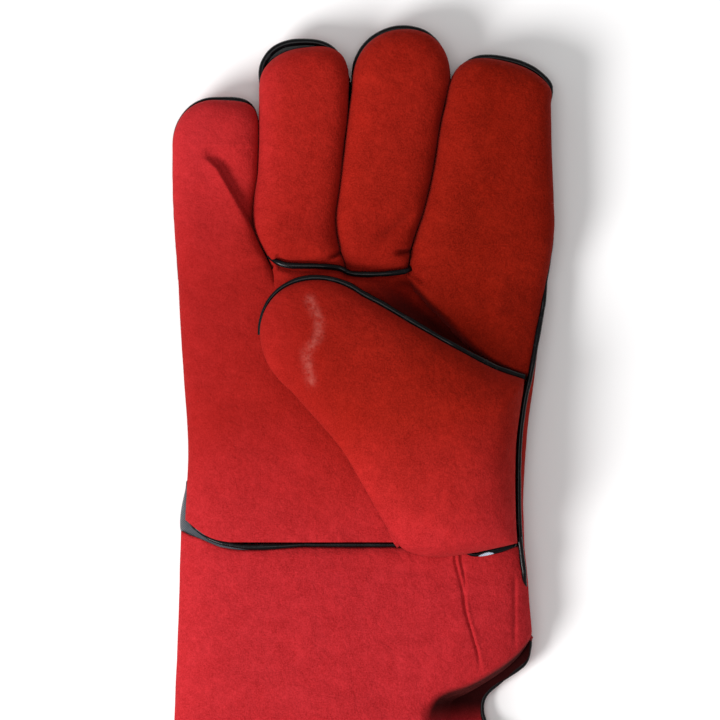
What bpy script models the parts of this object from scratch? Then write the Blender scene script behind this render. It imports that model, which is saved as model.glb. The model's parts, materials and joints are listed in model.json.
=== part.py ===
"""Right-hand welding gauntlet of split leather, lying on its back with the thumb folded over the palm.

Frame: +Y towards the fingertips, +X towards the thumb side, +Z out of the palm, z = 0 under the back.
Every leather leaf, lining and welt is its own object.
Each moving group hangs on an empty that lies on its hinge axis.
Lengths in the constants are millimetres; MM turns them into metres where an object is made.
"""

import math

import bmesh
import bpy
from mathutils import Matrix, Vector

MM = 0.001

# ---- materials in thickness ----------------------------------------------------------------------
LEATHER = 1.4
LINING = 1.2
LINING_INSET = 2.3
WELT_RADIUS = 1.1
WELT_INSET = 0.4
WELT_LIFT = 0.1
RING_SHRINK = 0.99
SEAM_GAP = 1.6
TOUCH_GAP = 0.3
HEM_ROOM = 2.6
MERGE_DISTANCE = 1e-6

# ---- stations along the glove (y) ----------------------------------------------------------------
HEM_Y = -177.7
WRIST_HINGE_Y = -19.5
WRIST_WELT_Y = -18.2
HAND_START_Y = -16.6
HAND_END_Y = 83.6
FINGER_HINGE_Y = 84.0
FINGER_START_Y = 84.3
BASE_WELT_Y = 85.2
SET_IN_START_Y = 87.2

# ---- side outlines, as (y, x) stations -----------------------------------------------------------
HAND_LEFT = ((-19.5, -67.4), (2.0, -65.6), (36.0, -66.0), (84.0, -70.6))
HAND_RIGHT = ((-19.5, 61.0), (45.0, 63.0), (84.0, 72.6))
CUFF_LEFT = ((-178.0, -73.4), (-19.5, -67.8))
CUFF_RIGHT = ((-178.0, 71.0), (-60.0, 63.2), (-19.5, 61.2))
SIDE_CREASE_Y = -80.0
SIDE_CREASE_DEPTH = 12.0
SIDE_CREASE_REACH = 13.0

# ---- heights -------------------------------------------------------------------------------------
HAND_SEAM_Z = 11.5
HAND_TOP = ((-19.5, 24.5), (20.0, 26.0), (60.0, 26.0), (84.0, 24.0))
CUFF_SEAM_Z = ((-178.0, 14.0), (-19.5, 11.5))
CUFF_TOP = ((-178.0, 31.0), (-19.5, 24.5))
FINGER_SEAM_Z = 11.0
FINGER_HINGE_Z = 25.5
WRIST_HINGE_Z = 25.5
UNDERSIDE_DEPTH = 1.06
HAND_POWER = 3.0
FINGER_POWER = 2.5
STRAIGHT_SHARE = 0.55

# ---- fingers: edges at the base and at the start of the tip, tip's y, height, length of the rounded tip 
FINGERS = {
    "little": {"base": (-70.6, -39.4), "tip": (-70.9, -39.0), "end": 150.0, "top": 22.5, "round": 15.0},
    "ring": {"base": (-37.4, -5.8), "tip": (-37.6, -4.6), "end": 172.6, "top": 23.8, "round": 15.0},
    "middle": {"base": (-3.8, 19.0), "tip": (-2.6, 30.0), "end": 177.2, "top": 24.2, "round": 15.0},
    "index": {"base": (21.0, 72.6), "tip": (32.6, 72.9), "end": 166.6, "top": 24.6, "round": 17.0},
}
SET_IN_FINGERS = ("ring", "middle")

# ---- thumb: a wing thumb hinged along a diagonal from the wrist seam to the side seam ------------
THUMB_FOOT = (15.0, -18.3)
THUMB_HEAD = (62.2, 44.6)
THUMB_TILT = 0.385
THUMB_TAPER = 0.165
THUMB_ROUND_FROM = 66.0
THUMB_ROUND = 27.5
THUMB_HEIGHT = 17.0
THUMB_CLEARANCE = 1.9
THUMB_SEAM_GAP = 2.2
THUMB_WELT_INSET = -0.1
THUMB_WELT_STANDOFF = 2.0
THUMB_WELT_END = 4.0
THUMB_WELT_FIRST_ANGLE = 118.0
THUMB_FOLD_SHARE = 0.2
THUMB_LINING_START = 9.0
THUMB_LINING_INSET = 3.1
THUMB_LINING_PLAN_INSET = 5.0
THUMB_ROOT_RAMP = 25.0
THUMB_LOW_SHARE = 0.4
THUMB_POWER = 2.4
THUMB_HINGE_Z = 45.0
ROOT_SPLIT = 1.1
ROOT_REACH = 0.86
ROOT_FOOT_INSET = 1.5
ROOT_HEAD_INSET = 0.8

# ---- opening under the thumb ---------------------------------------------------------------------
OPENING_REACH = 60.0
OPENING_PAST_HEAD = 8.0
OPENING_ABOVE_SEAM = 0.2
OPENING_TOP_Z = 60.0

# ---- grey flange of the wrist welt, at the little-finger side ------------------------------------
TAB_THICKNESS = 0.8
TAB_HALF_TURN = 35.0
TAB_HALF_HEIGHT = 4.5
TAB_LOW = 1.5
TAB_HIGH_Y = 2.0
TAB_STANDOFF = 1.9
TAB_BULGE = 0.8

# ---- grid rows shared by neighbouring sheets, so that their facets run side by side --------------
HAND_ROWS = 8
CUFF_ROWS = 12
WRIST_RING_STEPS = 24
HEM_RING_STEPS = 28
BASE_WELT_STEPS = 8

RED = (0.42, 0.025, 0.02, 1.0)
BLACK = (0.008, 0.008, 0.009, 1.0)
GREY = (0.10, 0.12, 0.15, 1.0)


# ---- small mathematics ---------------------------------------------------------------------------
def along(stations, y):
    """Straight-line reading between (y, value) stations, held flat past both ends."""
    if y <= stations[0][0]:
        return stations[0][1]
    for (y0, v0), (y1, v1) in zip(stations, stations[1:]):
        if y <= y1:
            return v0 + (v1 - v0) * (y - y0) / (y1 - y0)
    return stations[-1][1]


def mix(a, b, t):
    return a + (b - a) * t


def crown(reach, power):
    """Height factor of a superellipse: 1 in the middle, 0 at the seam, where the surface stands upright."""
    return (1.0 - min(abs(reach), 1.0) ** power) ** (1.0 / power)


def rounded(t):
    """Spreads even steps from -1 to 1 so that they crowd towards both ends."""
    return math.sin(t * math.pi / 2.0)


def half_section(seam, top, edge_gap, reach, power, front):
    """Height of a front leaf above the seam, or of a back leaf below it with its flat part on z = 0."""
    factor = crown(reach, power)
    if front:
        return seam + edge_gap + (top - seam - edge_gap) * factor
    return max((seam - edge_gap) * (1.0 - UNDERSIDE_DEPTH * factor), 0.0)


# ---- object makers -------------------------------------------------------------------------------
def material(name, colour, roughness):
    made = bpy.data.materials.new(name)
    made.use_nodes = True
    shader = made.node_tree.nodes["Principled BSDF"]
    shader.inputs["Base Color"].default_value = colour
    shader.inputs["Roughness"].default_value = roughness
    shader.inputs["Metallic"].default_value = 0.0
    return made


def add_object(name, data, finish, collection):
    made = bpy.data.objects.new(name, data)
    data.materials.append(finish)
    collection.objects.link(made)
    return made


def sheet(name, columns, rows, place, thickness, finish, collection):
    """A grid laid by place(s, t), s and t from 0 to 1, then thickened inwards with Solidify."""
    mesh = bmesh.new()
    bmesh.ops.create_grid(mesh, x_segments=columns, y_segments=rows, size=1.0)
    for vert in mesh.verts:
        vert.co = Vector(place((vert.co.x + 1.0) / 2.0, (vert.co.y + 1.0) / 2.0)) * MM
    bmesh.ops.remove_doubles(mesh, verts=mesh.verts, dist=MERGE_DISTANCE)
    data = bpy.data.meshes.new(name)
    mesh.to_mesh(data)
    mesh.free()
    data.shade_smooth()
    made = add_object(name, data, finish, collection)
    shell = made.modifiers.new("thickness", "SOLIDIFY")
    shell.thickness = thickness * MM
    shell.offset = -1.0
    return made


def welt(name, points, finish, collection, closed=False, radius=WELT_RADIUS):
    """A round bead along points, with filled ends unless it runs in a ring."""
    data = bpy.data.curves.new(name, "CURVE")
    data.dimensions = "3D"
    data.bevel_depth = radius * MM
    data.bevel_resolution = 2
    data.use_fill_caps = not closed
    spline = data.splines.new("POLY")
    spline.points.add(len(points) - 1)
    for point, place in zip(spline.points, points):
        point.co = (*(value * MM for value in place), 1.0)
    spline.use_cyclic_u = closed
    return add_object(name, data, finish, collection)


def prism(name, outline, low, high, collection):
    """A cutter: a flat outline extruded from low to high."""
    data = bpy.data.curves.new(name, "CURVE")
    data.dimensions = "2D"
    data.fill_mode = "BOTH"
    data.extrude = (high - low) / 2.0 * MM
    spline = data.splines.new("POLY")
    spline.points.add(len(outline) - 1)
    for point, (x, y) in zip(spline.points, outline):
        point.co = (x * MM, y * MM, 0.0, 1.0)
    spline.use_cyclic_u = True
    flat = bpy.data.objects.new(name + "_outline", data)
    flat.location.z = (high + low) / 2.0 * MM
    bpy.context.scene.collection.objects.link(flat)
    bpy.context.view_layer.update()
    seen = flat.evaluated_get(bpy.context.evaluated_depsgraph_get())
    mesh_data = bpy.data.meshes.new_from_object(seen)
    mesh = bmesh.new()
    mesh.from_mesh(mesh_data)
    bmesh.ops.remove_doubles(mesh, verts=mesh.verts, dist=MERGE_DISTANCE)
    mesh.to_mesh(mesh_data)
    mesh.free()
    cutter = bpy.data.objects.new(name, mesh_data)
    cutter.matrix_world = flat.matrix_world
    bpy.data.objects.remove(flat)
    cutter.hide_render = True
    cutter.display_type = "WIRE"
    collection.objects.link(cutter)
    return cutter


def cut(target, cutter):
    step = target.modifiers.new("cut", "BOOLEAN")
    step.object = cutter
    step.operation = "DIFFERENCE"
    step.solver = "EXACT"


def hinge_empty(name, location, collection, direction=None):
    """An empty on a hinge axis, its local X along the axis."""
    made = bpy.data.objects.new(name, None)
    made.empty_display_size = 0.02
    turn = math.atan2(direction[1], direction[0]) if direction else 0.0
    made.matrix_world = Matrix.Translation(Vector(location) * MM) @ Matrix.Rotation(turn, 4, "Z")
    collection.objects.link(made)
    return made


def hang(parts, empty):
    bpy.context.view_layer.update()
    for part in parts:
        part.parent = empty
        part.matrix_parent_inverse = empty.matrix_world.inverted()


# ---- hand and cuff sections ----------------------------------------------------------------------
def hand_top_z(x, y, drop=0.0):
    """Height of the palm's outer surface over (x, y); drop lowers and narrows it for the lining."""
    left = along(HAND_LEFT, y) + drop
    right = along(HAND_RIGHT, y) - drop
    reach = (2.0 * x - left - right) / (right - left)
    gap = SEAM_GAP if drop == 0.0 else 0.0
    return half_section(HAND_SEAM_Z, along(HAND_TOP, y) - drop, gap, reach, HAND_POWER, True)


def hand_leaf(front, drop=0.0):
    def place(s, t):
        u = rounded(2.0 * s - 1.0) * (1.0 if front else -1.0)
        y = mix(HAND_START_Y, HAND_END_Y, t)
        left = along(HAND_LEFT, y) + drop
        right = along(HAND_RIGHT, y) - drop
        x = mix(left, right, (u + 1.0) / 2.0)
        gap = SEAM_GAP if drop == 0.0 else 0.0
        z = half_section(HAND_SEAM_Z, along(HAND_TOP, y), gap, u, HAND_POWER, front)
        if drop:
            z = HAND_SEAM_Z + (z - HAND_SEAM_Z) * (1.0 - drop / HAND_SEAM_Z)
        return x, y, z

    return place


def wrap(front_place, back_place):
    """Joins a front and a back surface into one ring or pouch; s runs over the front, then under it."""

    def place(s, t):
        if s <= 0.5:
            return front_place(2.0 * s, t)
        return back_place(2.0 * s - 1.0, t)

    return place


def cuff_right(y):
    crease = math.exp(-(((y - SIDE_CREASE_Y) / SIDE_CREASE_REACH) ** 2))
    return along(CUFF_RIGHT, y) - SIDE_CREASE_DEPTH * crease


def cuff_leaf(front, drop=0.0, low=HEM_Y, high=WRIST_HINGE_Y - TOUCH_GAP):
    def place(s, t):
        u = rounded(2.0 * s - 1.0) * (1.0 if front else -1.0)
        y = mix(low, high, t)
        x = mix(along(CUFF_LEFT, y) + drop, cuff_right(y) - drop, (u + 1.0) / 2.0)
        seam = along(CUFF_SEAM_Z, y)
        gap = SEAM_GAP if drop == 0.0 else 0.0
        z = half_section(seam, along(CUFF_TOP, y), gap, u, HAND_POWER, front)
        if drop:
            z = seam + (z - seam) * (1.0 - drop / seam)
        return x, y, z

    return place


# ---- fingers -------------------------------------------------------------------------------------
def finger_leaf(finger, front, start, drop=0.0):
    """One leaf of a finger: straight sides, then a rounded tip laid by the square-to-disc rule."""
    size = FINGERS[finger]
    tip_from = size["end"] - size["round"]

    def place(s, t):
        u = rounded(2.0 * s - 1.0) * (1.0 if front else -1.0)
        if t < STRAIGHT_SHARE:
            y = mix(start, tip_from, t / STRAIGHT_SHARE)
            across, reach = u, u
        else:
            v = rounded((t - STRAIGHT_SHARE) / (1.0 - STRAIGHT_SHARE))
            across = u * math.sqrt(1.0 - v * v / 2.0)
            up = v * math.sqrt(1.0 - u * u / 2.0)
            y = tip_from + up * (size["round"] - drop)
            reach = math.hypot(across, up)
        share = min((y - FINGER_START_Y) / (tip_from - FINGER_START_Y), 1.0)
        left = mix(size["base"][0], size["tip"][0], share) + drop
        right = mix(size["base"][1], size["tip"][1], share) - drop
        x = mix(left, right, (across + 1.0) / 2.0)
        gap = SEAM_GAP if drop == 0.0 else 0.0
        z = half_section(FINGER_SEAM_Z, size["top"], gap, reach, FINGER_POWER, front)
        if drop:
            z = FINGER_SEAM_Z + (z - FINGER_SEAM_Z) * (1.0 - drop / FINGER_SEAM_Z)
        return x, y, z

    return place


def finger_edge(finger, start, inset, steps_side=3, steps_tip=9):
    """Points round a finger's seam, from the base on one side over the tip to the base on the other."""
    size = FINGERS[finger]
    tip_from = size["end"] - size["round"]
    left_side = []
    right_side = []
    for step in range(steps_side):
        share = step / steps_side
        y = mix(start, tip_from, share)
        left_side.append((mix(size["base"][0], size["tip"][0], share) + inset, y, FINGER_SEAM_Z))
        right_side.append((mix(size["base"][1], size["tip"][1], share) - inset, y, FINGER_SEAM_Z))
    right_side.reverse()
    middle = (size["tip"][0] + size["tip"][1]) / 2.0
    half = (size["tip"][1] - size["tip"][0]) / 2.0 - inset
    arc = []
    for step in range(steps_tip + 1):
        angle = math.pi * (1.0 - step / steps_tip)
        across = math.cos(angle) * half
        arc.append((middle + across, tip_from + math.sin(angle) * (size["round"] - inset), FINGER_SEAM_Z))
    return left_side + arc + right_side


# ---- thumb ---------------------------------------------------------------------------------------
THUMB_SPAN = math.dist(THUMB_FOOT, THUMB_HEAD)
THUMB_ALONG = tuple((b - a) / THUMB_SPAN for a, b in zip(THUMB_FOOT, THUMB_HEAD))
THUMB_OUT = (-THUMB_ALONG[1], THUMB_ALONG[0])


def thumb_plan(a, p):
    """Plan position a millimetres along the thumb's hinge line and p out of it, over the palm."""
    x = THUMB_FOOT[0] + THUMB_ALONG[0] * a + THUMB_OUT[0] * p
    y = THUMB_FOOT[1] + THUMB_ALONG[1] * a + THUMB_OUT[1] * p
    return x, y


def thumb_station(u, v, inset=0.0):
    """Plan position and reach; v runs from 0 at the root to 1 at the start of the tip, then to 2."""
    if v <= 1.0:
        p = mix(THUMB_LINING_START if inset else ROOT_SPLIT, THUMB_ROUND_FROM, v)
        across, reach = u, u
    else:
        across = u * math.sqrt(1.0 - (v - 1.0) ** 2 / 2.0)
        up = (v - 1.0) * math.sqrt(1.0 - u * u / 2.0)
        p = THUMB_ROUND_FROM + up * (THUMB_ROUND - inset)
        reach = math.hypot(across, up)
    taper_to = min(p, THUMB_ROUND_FROM)
    left = THUMB_TILT * taper_to + inset
    right = THUMB_SPAN - THUMB_TAPER * taper_to - inset
    a = mix(left, right, (across + 1.0) / 2.0)
    return *thumb_plan(a, p), p, reach


def thumb_leaf(front, inset=0.0, wrapped=False):
    """The thumb's upper or lower surface: a fold on its left, room for the welt on its right and tip."""

    def place(s, t):
        u = rounded(2.0 * s - 1.0) * (1.0 if front else -1.0)
        if t < STRAIGHT_SHARE:
            v = t / STRAIGHT_SHARE
        else:
            v = 1.0 + rounded((t - STRAIGHT_SHARE) / (1.0 - STRAIGHT_SHARE))
        x, y, p, reach = thumb_station(u, v, inset)
        ramp = min(p / THUMB_ROOT_RAMP, 1.0)
        low = THUMB_LOW_SHARE * THUMB_HEIGHT * ramp
        middle = hand_top_z(x, y) + THUMB_CLEARANCE + low
        gap = 0.0
        if wrapped:
            gap = min(THUMB_SEAM_GAP, low) * min((u + 1.0) / THUMB_FOLD_SHARE, 1.0)
        factor = crown(reach, THUMB_POWER)
        if front:
            z = middle + gap + (THUMB_HEIGHT - low - gap) * factor
        else:
            z = middle - gap - (low - gap) * factor
        return x, y, z

    return place


def thumb_lining_leaf(front):
    """The lining's surface inside the thumb, the leather and a working gap further in on every side."""

    def place(s, t):
        x, y, top = thumb_leaf(True, THUMB_LINING_PLAN_INSET)(s if front else 1.0 - s, t)
        bottom = thumb_leaf(False, THUMB_LINING_PLAN_INSET)(1.0 - s if front else s, t)[2]
        centre = (top + bottom) / 2.0
        half = (top - bottom) / 2.0 * (1.0 - 2.0 * THUMB_LINING_INSET / THUMB_HEIGHT)
        return x, y, centre + (half if front else -half)

    return place


def thumb_edge(inset, steps_side=6, steps_tip=9):
    """Points of the welt: from the tip's fold side, over the tip and down the upper edge to the root."""
    points = []
    tip_left = THUMB_TILT * THUMB_ROUND_FROM + inset
    tip_right = THUMB_SPAN - THUMB_TAPER * THUMB_ROUND_FROM - inset
    middle, half = (tip_left + tip_right) / 2.0, (tip_right - tip_left) / 2.0
    first_angle = math.radians(THUMB_WELT_FIRST_ANGLE)
    for step in range(steps_tip + 1):
        angle = first_angle * (1.0 - step / steps_tip)
        a = middle + math.cos(angle) * half
        p = THUMB_ROUND_FROM + math.sin(angle) * (THUMB_ROUND - inset)
        points.append((a, p))
    for step in range(1, steps_side + 1):
        p = mix(THUMB_ROUND_FROM, THUMB_WELT_END, step / steps_side)
        nearing = min((THUMB_ROUND_FROM - p) / (THUMB_ROUND_FROM - THUMB_ROOT_RAMP), 1.0)
        points.append((THUMB_SPAN - THUMB_TAPER * p - inset + THUMB_WELT_STANDOFF * nearing, p))
    placed = []
    for a, p in points:
        x, y = thumb_plan(a, p)
        ramp = min(p / THUMB_ROOT_RAMP, 1.0)
        placed.append((x, y, hand_top_z(x, y) + THUMB_CLEARANCE + THUMB_LOW_SHARE * THUMB_HEIGHT * ramp))
    return placed


def root_leaf(s, t):
    """The thumb's root, from its hinge line towards the corner of the side seam and the wrist seam."""
    corner = (along(HAND_RIGHT, HAND_START_Y), HAND_START_Y)
    foot = thumb_plan(ROOT_FOOT_INSET, -ROOT_SPLIT)
    head = thumb_plan(THUMB_SPAN - ROOT_HEAD_INSET, -ROOT_SPLIT)
    u = rounded(2.0 * s - 1.0)
    depth = (1.0 - t) * ROOT_REACH
    start = [mix(a, b, depth) for a, b in zip(foot, corner)]
    end = [mix(a, b, depth) for a, b in zip(head, corner)]
    x = mix(start[0], end[0], (u + 1.0) / 2.0)
    y = mix(start[1], end[1], (u + 1.0) / 2.0)
    x = min(x, along(HAND_RIGHT, y))
    rise = THUMB_HEIGHT * crown(u, THUMB_POWER) * math.sqrt(max(1.0 - depth * depth, 0.0))
    return x, y, hand_top_z(x, y) + THUMB_CLEARANCE + rise


# ---- the glove -----------------------------------------------------------------------------------
def clear_scene():
    for old in list(bpy.data.objects):
        bpy.data.objects.remove(old)


def build_hand(parts, cutters, red, black, grey):
    palm = sheet("palm_front", 10, HAND_ROWS, hand_leaf(True), LEATHER, red, parts)
    sheet("hand_back", 10, HAND_ROWS, hand_leaf(False), LEATHER, red, parts)
    lining = sheet(
        "palm_lining",
        20,
        HAND_ROWS,
        wrap(hand_leaf(True, LINING_INSET), hand_leaf(False, LINING_INSET)),
        LINING,
        grey,
        parts,
    )
    past = THUMB_SPAN + OPENING_PAST_HEAD
    corners = ((-OPENING_REACH, 0.0), (-OPENING_REACH, -OPENING_REACH), (past, -OPENING_REACH), (past, 0.0))
    outline = [thumb_plan(a, p) for a, p in corners]
    opening = prism("thumb_opening", outline, HAND_SEAM_Z + OPENING_ABOVE_SEAM, OPENING_TOP_Z, cutters)
    cut(palm, opening)
    cut(lining, opening)
    sheet("thumb_root", 10, 6, root_leaf, LEATHER, red, parts)
    for side, stations in (("little", HAND_LEFT), ("thumb", HAND_RIGHT)):
        inset = WELT_INSET if side == "little" else -WELT_INSET
        points = []
        for step in range(HAND_ROWS + 1):
            y = mix(HAND_START_Y, HAND_END_Y, step / HAND_ROWS)
            points.append((along(stations, y) + inset, y, HAND_SEAM_Z))
        welt("side_welt_" + side, points, black, parts)
    ring = []
    leaf = wrap(hand_leaf(True), hand_leaf(False))
    for step in range(WRIST_RING_STEPS):
        x, _, z = leaf(step / WRIST_RING_STEPS, 0.0)
        drop = WELT_INSET if z > HAND_SEAM_Z else 0.0
        ring.append((x * RING_SHRINK, WRIST_WELT_Y, max(z, WELT_RADIUS + WELT_LIFT) - drop))
    welt("wrist_welt", ring, black, parts, closed=True)
    points = []
    low, high = FINGERS["ring"]["base"][0], FINGERS["middle"]["base"][1]
    for step in range(BASE_WELT_STEPS + 1):
        x = mix(low, high, step / BASE_WELT_STEPS)
        points.append((x, BASE_WELT_Y, hand_top_z(x, HAND_END_Y) - WELT_INSET))
    welt("finger_base_welt", points, black, parts)

    def tab_place(s, t):
        y = mix(HAND_START_Y - TAB_LOW, TAB_HIGH_Y, t)
        turn = math.radians(mix(TAB_HALF_TURN, -TAB_HALF_TURN, s))
        bulge = TAB_STANDOFF + TAB_BULGE * math.sin(math.pi * t)
        x = along(HAND_LEFT, y) - bulge * math.cos(turn)
        return x, y, HAND_SEAM_Z + TAB_HALF_HEIGHT * math.sin(turn)

    sheet("wrist_tab", 4, 5, tab_place, TAB_THICKNESS, grey, parts)


def build_finger(finger, parts, red, black, grey):
    set_in = finger in SET_IN_FINGERS
    front_start = SET_IN_START_Y if set_in else FINGER_START_Y
    made = [
        sheet(finger + "_front", 8, 8, finger_leaf(finger, True, front_start), LEATHER, red, parts),
        sheet(finger + "_back", 8, 8, finger_leaf(finger, False, FINGER_START_Y), LEATHER, red, parts),
    ]
    pouch = wrap(
        finger_leaf(finger, True, FINGER_START_Y, LINING_INSET),
        finger_leaf(finger, False, FINGER_START_Y, LINING_INSET),
    )
    made.append(sheet(finger + "_lining", 12, 6, pouch, LINING, grey, parts))
    made.append(welt(finger + "_welt", finger_edge(finger, front_start, WELT_INSET), black, parts))
    middle = sum(FINGERS[finger]["base"]) / 2.0
    hang(made, hinge_empty(finger + "_hinge", (middle, FINGER_HINGE_Y, FINGER_HINGE_Z), parts))


def build_thumb(parts, red, black, grey):
    def folded(s, t):
        if s <= 0.5:
            return thumb_leaf(False, wrapped=True)(2.0 * s, t)
        return thumb_leaf(True, wrapped=True)(2.0 * s - 1.0, t)

    made = [sheet("thumb_leather", 16, 9, folded, LEATHER, red, parts)]
    pouch = wrap(thumb_lining_leaf(True), thumb_lining_leaf(False))
    made.append(sheet("thumb_lining", 16, 7, pouch, LINING, grey, parts))
    made.append(welt("thumb_welt", thumb_edge(THUMB_WELT_INSET), black, parts))
    foot = (THUMB_FOOT[0], THUMB_FOOT[1], THUMB_HINGE_Z)
    hang(made, hinge_empty("thumb_hinge", foot, parts, THUMB_ALONG))


def build_cuff(parts, red, black, grey):
    low = HEM_Y + HEM_ROOM
    made = [
        sheet("cuff_front", 10, CUFF_ROWS, cuff_leaf(True, low=low), LEATHER, red, parts),
        sheet("cuff_back", 10, CUFF_ROWS, cuff_leaf(False, low=low), LEATHER, red, parts),
    ]
    tube = wrap(cuff_leaf(True, LINING_INSET, low=low), cuff_leaf(False, LINING_INSET, low=low))
    made.append(sheet("cuff_lining", 20, CUFF_ROWS, tube, LINING, grey, parts))
    for side in ("little", "thumb"):
        points = []
        for step in range(CUFF_ROWS + 1):
            y = mix(low, WRIST_HINGE_Y - TOUCH_GAP, step / CUFF_ROWS)
            x = along(CUFF_LEFT, y) + WELT_INSET if side == "little" else cuff_right(y) - WELT_INSET
            points.append((x, y, along(CUFF_SEAM_Z, y)))
        made.append(welt("cuff_welt_" + side, points, black, parts))
    ring = []
    leaf = wrap(cuff_leaf(True), cuff_leaf(False))
    for step in range(HEM_RING_STEPS):
        x, _, z = leaf(step / HEM_RING_STEPS, 0.0)
        ring.append((x * RING_SHRINK, HEM_Y + WELT_RADIUS, max(z - WELT_INSET, WELT_RADIUS + WELT_LIFT)))
    made.append(welt("hem_binding", ring, black, parts, closed=True))
    hang(made, hinge_empty("cuff_hinge", (0.0, WRIST_HINGE_Y, WRIST_HINGE_Z), parts))


def build():
    clear_scene()
    parts = bpy.data.collections.new("welding_glove")
    cutters = bpy.data.collections.new("cutters")
    bpy.context.scene.collection.children.link(parts)
    bpy.context.scene.collection.children.link(cutters)
    red = material("red_split_leather", RED, 0.95)
    black = material("black_welt", BLACK, 0.35)
    grey = material("grey_lining", GREY, 0.9)
    build_hand(parts, cutters, red, black, grey)
    for finger in FINGERS:
        build_finger(finger, parts, red, black, grey)
    build_thumb(parts, red, black, grey)
    build_cuff(parts, red, black, grey)


build()
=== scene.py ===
"""Looks of the right-hand welding gauntlet: suede leaves, glossy welts, lining, seams, floor, lights, camera.

Frame as packed: +Y to the fingertips, +X to the thumb side, +Z out of the palm, z = 0 under the back.
Constants are millimetres; MM turns them into metres where a mesh is made.
"""

import json
import math

import bmesh
import bpy
from mathutils import Matrix, Vector, noise


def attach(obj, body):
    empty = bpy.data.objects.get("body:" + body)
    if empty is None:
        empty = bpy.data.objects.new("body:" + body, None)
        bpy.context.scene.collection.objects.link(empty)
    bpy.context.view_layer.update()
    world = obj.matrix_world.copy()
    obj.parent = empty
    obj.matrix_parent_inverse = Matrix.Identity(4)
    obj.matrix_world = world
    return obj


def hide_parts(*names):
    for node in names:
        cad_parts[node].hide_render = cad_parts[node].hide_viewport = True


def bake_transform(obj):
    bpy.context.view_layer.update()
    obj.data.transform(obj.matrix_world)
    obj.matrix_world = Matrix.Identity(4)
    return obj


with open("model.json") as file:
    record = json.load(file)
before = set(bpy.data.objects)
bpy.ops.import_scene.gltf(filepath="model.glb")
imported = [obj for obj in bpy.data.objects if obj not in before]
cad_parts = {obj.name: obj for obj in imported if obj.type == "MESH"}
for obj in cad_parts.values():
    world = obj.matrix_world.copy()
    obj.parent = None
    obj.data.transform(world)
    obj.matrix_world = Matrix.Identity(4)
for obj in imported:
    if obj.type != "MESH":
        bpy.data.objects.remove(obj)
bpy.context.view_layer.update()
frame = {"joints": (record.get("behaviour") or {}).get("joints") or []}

MM = 0.001

# ---- side outlines of the whole glove, as (y, x) stations ----
LEFT = (
    (-19.5, -68), (-8, -66.6), (13.6, -65.4), (28.7, -65.8), (43.8, -66.9), (59, -68),
    (74, -68.8), (89, -69.6), (100, -70.4), (112, -71), (131, -71.2),
)
RIGHT = (
    (-19.5, 62.2), (-1.5, 61.9), (13.6, 62.6), (28.7, 63.8), (43.8, 65.9), (59, 67.6),
    (74, 69.8), (89, 72.4), (100.4, 73.5), (111.8, 73.2), (130.6, 72.5), (149, 72.2),
)
RIGHT_SEAM = (
    (-19.5, 60.4), (-8, 59.6), (18, 59.7), (35, 61.6), (45.7, 64), (60, 66.6),
    (74, 69.2), (90, 72.2), (102, 73.5), (111.8, 73.2),
)
INDEX_RIGHT = RIGHT_SEAM[:-1] + RIGHT[-3:]
LITTLE_RING = (
    (78, -32.5), (85, -33.3), (90.3, -35.7), (97, -38.7), (103.1, -40.4), (111.8, -40.2),
    (122, -38.8), (146, -38.2), (160, -38.2),
)
RING_MIDDLE = (
    (78, -5.4), (86.5, -5.6), (91, -7.2), (99.7, -8.9), (106.1, -9.2), (115.6, -7.9),
    (132.5, -6), (151, -3.8), (165, -3.2),
)
MIDDLE_INDEX = (
    (78, 17.8), (86, 18.4), (92.9, 19.3), (99.7, 21.2), (107.3, 23.9), (123.1, 27.6),
    (142, 30.6), (158, 34.4), (172, 36),
)
CUFF_LEFT = ((-178, -73.2), (-120, -71.8), (-60, -69.6), (-19.5, -68.2))
CUFF_RIGHT = (
    (-178, 71), (-125, 66.5), (-106, 62), (-95, 54.5), (-86, 48.4), (-78, 47.8),
    (-72.4, 51.8), (-68.6, 57.4), (-64.5, 62.8), (-59, 65.2), (-39, 64.2), (-19.5, 62.4),
)

# ---- heights ----
SEAM_Z = 11.5
HAND_TOP = ((-19.5, 24.5), (5, 25.5), (40, 25.8), (70, 25), (86, 24.2))
HAND_POWER = 2.9
FINGER_POWER = 3.4
FINGERS_FROM = 77
FINGERS_FULL = 97
FLOOR_CLEAR = 0.25
BACK_FLATNESS = 1.06

# ---- seams ----
WRIST_Y = -18.4
BASE_SEAM_Y = 86
PALM_START_Y = -17.4
PALM_END_Y = BASE_SEAM_Y - 0.9
INDEX_FROM_Y = 40
BACK_SPLIT_Y = 79
HEM_Y = -176.6
LEATHER = 1.3
CLOTH_SHEET = {"thickness": 0.9, "merge": 0.05 * MM}
LINING_INSET = 2.4
SEAM_TUCK = 1.2
WELT_TUCK = 1.25

FINGER_SIZES = ("left", "right", "end", "round", "top", "shear", "power")
FINGERS = {
    "little": (LEFT, LITTLE_RING, 149.7, 17.7, 22.6, -0.04, 2.1),
    "ring": (LITTLE_RING, RING_MIDDLE, 169.6, 15.5, 24.4, 0.12, 2.6),
    "middle": (RING_MIDDLE, MIDDLE_INDEX, 176.6, 20, 24.8, 0.02, 2.2),
    "index": (MIDDLE_INDEX, INDEX_RIGHT, 165, 16.5, 25.4, -0.22, 2.5),
}
FINGERS = {finger: dict(zip(FINGER_SIZES, sizes)) for finger, sizes in FINGERS.items()}
for finger_size in FINGERS.values():
    finger_size["from"] = finger_size["end"] - finger_size["round"]
LITTLE_INNER_POWER = 4.6
WELT_END = {"little": 149.9, "ring": 172, "middle": 177, "index": 165.6}
WELT_SHEAR = {"little": 0, "ring": 0.02, "middle": 0.02, "index": -0.22}
WELT_SHIFT = {"little": -0.2, "ring": -1.3, "middle": -1, "index": 1.2}
CLEFT_INSET = -0.12
TIP_CLEFT_INSET = {"little": (0.1, 0.1), "ring": (0.1, 0.8), "middle": (0.5, 0.1), "index": (0.1, 0.1)}
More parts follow.
